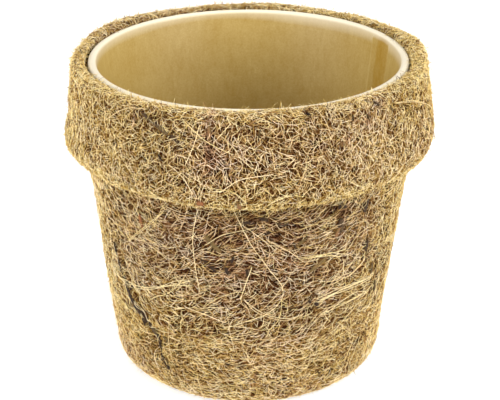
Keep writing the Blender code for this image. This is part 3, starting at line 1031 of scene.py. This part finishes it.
cuffChips = [
    (239.5, 148.3, 60, 9.5, 1.4, 0.26), (244.5, 144.6, 62, 8.5, 1.7, 0.32), (248.6, 141.6, 50, 5, 1.6, 0.20),
    (258.8, 146, 4, 9, 1.2, 0.58), (256.4, 114.8, 80, 3, 2.2, 0.86), (311, 151.5, 60, 3.6, 1, 0.22),
    (307.5, 147, 30, 3, 1, 0.34), (287.7, 152.4, 70, 1.8, 1.1, 0.06), (267.5, 115, 10, 3.5, 2, 0.62),
]


def strewnChips(rng, count, heights):
    chips = []
    for _ in range(count):
        height = rng.uniform(*heights)
        chips.append((rng.uniform(0, 360), height, rng.uniform(-90, 90), rng.uniform(*husk["strewnLength"]),
                      rng.uniform(*husk["strewnWidth"]), rng.choice(husk["strewnTones"])))
    return chips


def chipPoints(rng, skin, chip):
    # the chip's top and its bottom, which is sunk in the mat
    angle, height, lean, length, width, _ = chip
    rows, columns = husk["rows"], husk["columns"]
    lengthwise = np.linspace(-1, 1, rows)[:, None] * np.ones(columns)
    crosswise = np.linspace(-1, 1, columns)[None, :] * np.ones((rows, 1))
    tilt = math.radians(lean)
    ragged = 1 + husk["ragged"] * rng.standard_normal((rows, 1))
    narrow = ragged * np.sqrt(husk["blunt"] - np.abs(lengthwise) ** 3)
    u = lengthwise * length / 2 * mm * (1 + husk["uneven"] * rng.standard_normal((rows, columns)))
    v = crosswise * width / 2 * mm * narrow
    up = u * math.cos(tilt) + v * math.sin(tilt)
    sideways = v * math.cos(tilt) - u * math.sin(tilt)
    middle = skin.alongAt(height * mm)
    around = math.radians(angle) + sideways / skin.outline.read(middle)[0]
    crown = husk["crown"] * (1 - crosswise ** 2) + husk["warp"] * rng.standard_normal((1, columns))
    faces = [skin.place(middle - up, around, lift)[0] for lift in (crown + husk["standing"], husk["root"])]
    stretch = rng.random() * husk["ridgeRoom"]
    return np.array(faces).reshape(-1, 3), np.tile((crosswise + stretch).ravel(), 2)


def chipFaces():
    # a closed slip: its top, its bottom and the edge between them
    rows, columns = husk["rows"], husk["columns"]
    i = np.arange(rows - 1)[:, None] * columns + np.arange(columns - 1)[None, :]
    top = np.stack([i, i + 1, i + columns + 1, i + columns], -1).reshape(-1, 4)
    under = rows * columns
    loop = ([c for c in range(columns - 1)] + [r * columns + columns - 1 for r in range(rows - 1)]
            + [(rows - 1) * columns + c for c in range(columns - 1, 0, -1)]
            + [r * columns for r in range(rows - 1, 0, -1)])
    edge = [(a + under, b + under, b, a) for a, b in zip(loop, loop[1:] + loop[:1])]
    return np.concatenate([top, top[:, ::-1] + under, np.array(edge)])


def addChips(name, seed, skin, placed, strewn, heights):
    rng = np.random.default_rng(seed)
    chips = placed + strewnChips(rng, strewn, heights)
    points, acrosses = zip(*[chipPoints(rng, skin, chip) for chip in chips])
    each = len(points[0])
    verts = np.concatenate(points)
    verts[:, 2] = np.maximum(verts[:, 2], mat["ground"])
    quads = np.concatenate([chipFaces() + number * each for number in range(len(chips))])
    mesh = meshFromArrays(name, verts, quads)
    addAttribute(mesh, "tone", np.repeat([chip[-1] for chip in chips], each))
    addAttribute(mesh, "across", np.concatenate(acrosses))
    addPiece(name, mesh, coirHusk, "pot")


coirHusk = coirHuskMaterial()
addChips("huskWallChips", 41, shellOut, wallChips, 50, (8, 100))
addChips("huskCuffChips", 43, cuffOut, cuffChips, 26, (118, 150))
print("husk chips set")


# Paper liner

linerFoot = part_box("liner_wall")[0][2]
linerTop = topOf("liner_wall")
liner = {
    "paper": 0.7 * mm, "roll": 1.95 * mm, "rollEnd": -115.0, "footRadius": 55.5 * mm,
    "hem": 7.0 * mm, "slot": 0.6 * mm, "columns": 256,
    "outsideTop": 1 * mm, "insideTop": 1.2 * mm,   # below the roll's middle
    "outsideSteps": 24, "insideSteps": 60, "innerRollSteps": 26, "rollSteps": 34,
    "wobbles": [(0.12 * mm, 2, 0.6), (0.06 * mm, 5, 2.0)], "wobbleHeight": 150 * mm,
    "seamAngle": 24.0, "seamStep": 0.35 * mm,
    # across the lap, from its middle: how far it is raised and how much deeper its colour is
    "lapAt": np.array([-8.2, -7.5, 2.5, 3.5, 6.7, 7.5, 8.2]) * mm,
    "lapRise": np.array([0, 1, 1, 1, 1, 1, 0]),
    "lapShade": np.array([0, 0.8, 0.8, 0.2, 0.1, -0.6, 0]),
}
paper = liner["paper"]
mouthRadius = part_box("liner_wall")[1][1] - 2 * liner["roll"]
rollMiddle = linerTop - liner["roll"]


def linerOuter(z):
    taper = (mouthRadius + paper - liner["footRadius"]) / (rollMiddle - linerFoot)
    return liner["footRadius"] + taper * (z - linerFoot)


def rollArc(radius, start, end, steps):
    angles = np.radians(np.linspace(start, end, steps))
    centre = mouthRadius + liner["roll"]
    return [(centre + radius * math.cos(a), rollMiddle + radius * math.sin(a)) for a in angles]


def linerOutline():
    # up the outside, round the roll and back, down the inside and round the hem
    slot = paper + liner["slot"]
    hemTop = linerFoot + liner["hem"]
    outside = np.linspace(linerFoot, rollMiddle - liner["outsideTop"], liner["outsideSteps"])
    inside = np.linspace(rollMiddle - liner["insideTop"], linerFoot + paper, liner["insideSteps"])
    points = [(linerOuter(z), z) for z in outside]
    points += rollArc(liner["roll"] - paper, 180, liner["rollEnd"], liner["innerRollSteps"])
    points += rollArc(liner["roll"], liner["rollEnd"], 180, liner["rollSteps"])
    points += [(linerOuter(z) - paper, z) for z in inside]
    points += [(linerOuter(z) - paper - slot, z) for z in (linerFoot + paper, hemTop)]
    points += [(linerOuter(z) - 2 * paper - slot, z) for z in (hemTop, linerFoot)]
    return np.array(points)


def linerTurns():
    # even steps, but over the lap only the places where it changes, so that its edges are sharp
    lap = liner["lapAt"] / mouthRadius
    even = np.linspace(-math.pi, math.pi, liner["columns"], endpoint=False)
    even = even[(even < lap[0]) | (even > lap[-1])]
    return np.sort(np.concatenate([even, lap]))


def linerMesh():
    outline = linerOutline()
    turns = linerTurns()
    angles = turns + math.radians(liner["seamAngle"])
    rise = np.interp(turns * mouthRadius, liner["lapAt"], liner["lapRise"])
    lap = np.interp(turns * mouthRadius, liner["lapAt"], liner["lapShade"])
    inner = linerOuter(outline[:, 1]) - paper
    onInside = (outline[:, 0] < inner + 0.5 * paper) & (outline[:, 1] < rollMiddle)
    z = outline[:, 1][:, None] + 0 * angles
    r = outline[:, 0][:, None] - np.where(onInside[:, None], liner["seamStep"] * rise, 0)
    # paper is never quite round
    r = r + waves(angles, liner["wobbles"]) * (z - linerFoot) / liner["wobbleHeight"]
    verts = np.stack([r * np.cos(angles), r * np.sin(angles), z], -1)
    # turned over, because this outline has the outside on its right
    quads = ringQuads(len(outline), len(angles), True)[:, [0, 3, 2, 1]]
    mesh = meshFromArrays("linerWall", verts.reshape(-1, 3), quads)
    addAttribute(mesh, "lap", lap + 0 * z)
    return mesh


board = {
    "grain": 1.0 * mm, "streak": 2.381 * mm, "streakStretch": 0.3, "cloud": 11.111 * mm,
    "kraft": [(0.20, "#9a7620"), (0.40, "#a68945"), (0.50, "#ac9151"), (0.60, "#b2985a"), (0.80, "#c2ac72")],
    # the rolled rim's pale cream is a painted highlight
    "rim": "#e2d7bd", "rimStart": -0.4 * mm, "rimEnd": 0.5 * mm,   # off the mouth's radius
    "roughness": 0.45,
}


def kraftMaterial():
    # Unbleached kraft paperboard, calendered and coated: warm tan, satin, with a fine mottle
    material, tree, shader = newMaterial("kraftPaperboard")
    place = addNode(tree, "ShaderNodeTexCoord").outputs["Object"]
    drawn = addNode(tree, "ShaderNodeVectorMath", {"operation": "MULTIPLY"},
                    {1: (1, 1, board["streakStretch"])}, {0: place})
    grain = addNode(tree, "ShaderNodeTexNoise", links={"Vector": place},
                    inputs={"Scale": 1 / board["grain"], "Detail": 3.0, "Roughness": 0.7})
    streaks = addNode(tree, "ShaderNodeTexNoise", inputs={"Scale": 1 / board["streak"], "Detail": 2.0},
                      links={"Vector": drawn.outputs["Vector"]})
    clouds = addNode(tree, "ShaderNodeTexNoise", inputs={"Scale": 1 / board["cloud"], "Detail": 3.0},
                     links={"Vector": place})
    lap = addNode(tree, "ShaderNodeAttribute", {"attribute_name": "lap"})
    mottle = addNode(tree, "ShaderNodeMath", {"operation": "ADD"},
                     links={0: streaks.outputs["Fac"], 1: clouds.outputs["Fac"]})
    mottle = addNode(tree, "ShaderNodeMath", {"operation": "MULTIPLY_ADD"}, {1: 0.5},
                     {0: mottle.outputs["Value"], 2: grain.outputs["Fac"]})
    mottle = addNode(tree, "ShaderNodeMath", {"operation": "MULTIPLY_ADD"}, {1: -0.5},
                     {0: lap.outputs["Fac"], 2: mottle.outputs["Value"]})
    half = addNode(tree, "ShaderNodeMath", {"operation": "MULTIPLY"}, {1: 0.5}, {0: mottle.outputs["Value"]})
    body = addNode(tree, "ShaderNodeValToRGB", links={"Fac": half.outputs["Value"]}, stops=board["kraft"])
    # the rolled rim is paler, a painted highlight where the roll catches the light, and the distance from the
    # axis tells where it is
    flat = addNode(tree, "ShaderNodeVectorMath", {"operation": "MULTIPLY"}, {1: (1, 1, 0)}, {0: place})
    radius = addNode(tree, "ShaderNodeVectorMath", {"operation": "LENGTH"}, links={0: flat.outputs["Vector"]})
    rise = addNode(tree, "ShaderNodeMapRange",
                   inputs={"From Min": mouthRadius + board["rimStart"],
                           "From Max": mouthRadius + board["rimEnd"]},
                   links={"Value": radius.outputs["Value"]})
    colour = addNode(tree, "ShaderNodeMix", {"data_type": "RGBA"}, {"B": hexToLinear(board["rim"])},
                     {"Factor": rise.outputs["Result"], "A": body.outputs["Color"]})
    tree.links.new(colour.outputs["Result"], shader.inputs["Base Color"])
    shader.inputs["Roughness"].default_value = board["roughness"]
    return material


kraft = kraftMaterial()
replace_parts(addPiece("linerWall", linerMesh(), kraft, "liner"), "liner_wall")
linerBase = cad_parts["liner_base"]
linerBase.data.materials.clear()
linerBase.data.materials.append(kraft)
print("liner made")


# Floor and light

studio = {
    "floor": "#f4f4f2", "floorSize": 8.0, "floorRoughness": 0.9,
    "floorWhite": 0.45,   # what the camera sees over the lamps' light, while the shadow stays
    "fill": 0.42,         # the white surroundings' light on the object
    "aim": (0, 0, 80 * mm),
}
lights = {
    "left": {"place": (-1.06, -0.67, 0.46), "size": 0.9, "power": 20.2},
    "right": {"place": (1.08, -0.63, 0.57), "size": 0.9, "power": 21.8},
    "top": {"place": (0.30, -0.20, 1.25), "size": 1.1, "power": 5.0},
}
white = (1, 1, 1, 1)


def seenDirectly(tree):
    # 1 for what the camera sees, also in gloss or through glass, and 0 for the light on the object
    path = addNode(tree, "ShaderNodeLightPath")
    mirrored = addNode(tree, "ShaderNodeMath", {"operation": "MAXIMUM"},
                       links={0: path.outputs["Is Glossy Ray"], 1: path.outputs["Is Transmission Ray"]})
    seen = addNode(tree, "ShaderNodeMath", {"operation": "MAXIMUM"},
                   links={0: path.outputs["Is Camera Ray"], 1: mirrored.outputs["Value"]})
    return seen.outputs["Value"]


def makeFloor():
    # White paper sweep: matt and even
    bpy.ops.mesh.primitive_plane_add(size=studio["floorSize"], location=(0, 0, 0))
    floor = bpy.context.object
    floor.name = "floor"
    material, tree, shader = newMaterial("paperSweep")
    shader.inputs["Base Color"].default_value = hexToLinear(studio["floor"])
    shader.inputs["Roughness"].default_value = studio["floorRoughness"]
    glow = addNode(tree, "ShaderNodeMath", {"operation": "MULTIPLY"}, {1: studio["floorWhite"]},
                   {0: seenDirectly(tree)})
    tree.links.new(glow.outputs["Value"], shader.inputs["Emission Strength"])
    shader.inputs["Emission Color"].default_value = white
    floor.data.materials.append(material)


def makeLights():
    for name, lamp in lights.items():
        data = bpy.data.lights.new(name, "AREA")
        data.shape = "SQUARE"
        data.size = lamp["size"]
        data.energy = lamp["power"]
        lampObject = bpy.data.objects.new(name, data)
        bpy.context.scene.collection.objects.link(lampObject)
        lampObject.location = lamp["place"]
        x, y, z = np.array(studio["aim"]) - np.array(lamp["place"])
        tilt = math.atan2(-z, math.hypot(x, y))
        lampObject.rotation_euler = (math.pi / 2 - tilt, 0, math.atan2(y, x) - math.pi / 2)


def makeSurroundings():
    world = bpy.data.worlds.new("studio")
    bpy.context.scene.world = world
    world.use_nodes = True
    tree = world.node_tree
    background = tree.nodes["Background"]
    strength = addNode(tree, "ShaderNodeMapRange", inputs={"To Min": studio["fill"], "To Max": 1.0},
                       links={"Value": seenDirectly(tree)})
    background.inputs["Color"].default_value = white
    tree.links.new(strength.outputs["Result"], background.inputs["Strength"])


makeFloor()
makeLights()
makeSurroundings()
print("stage set")
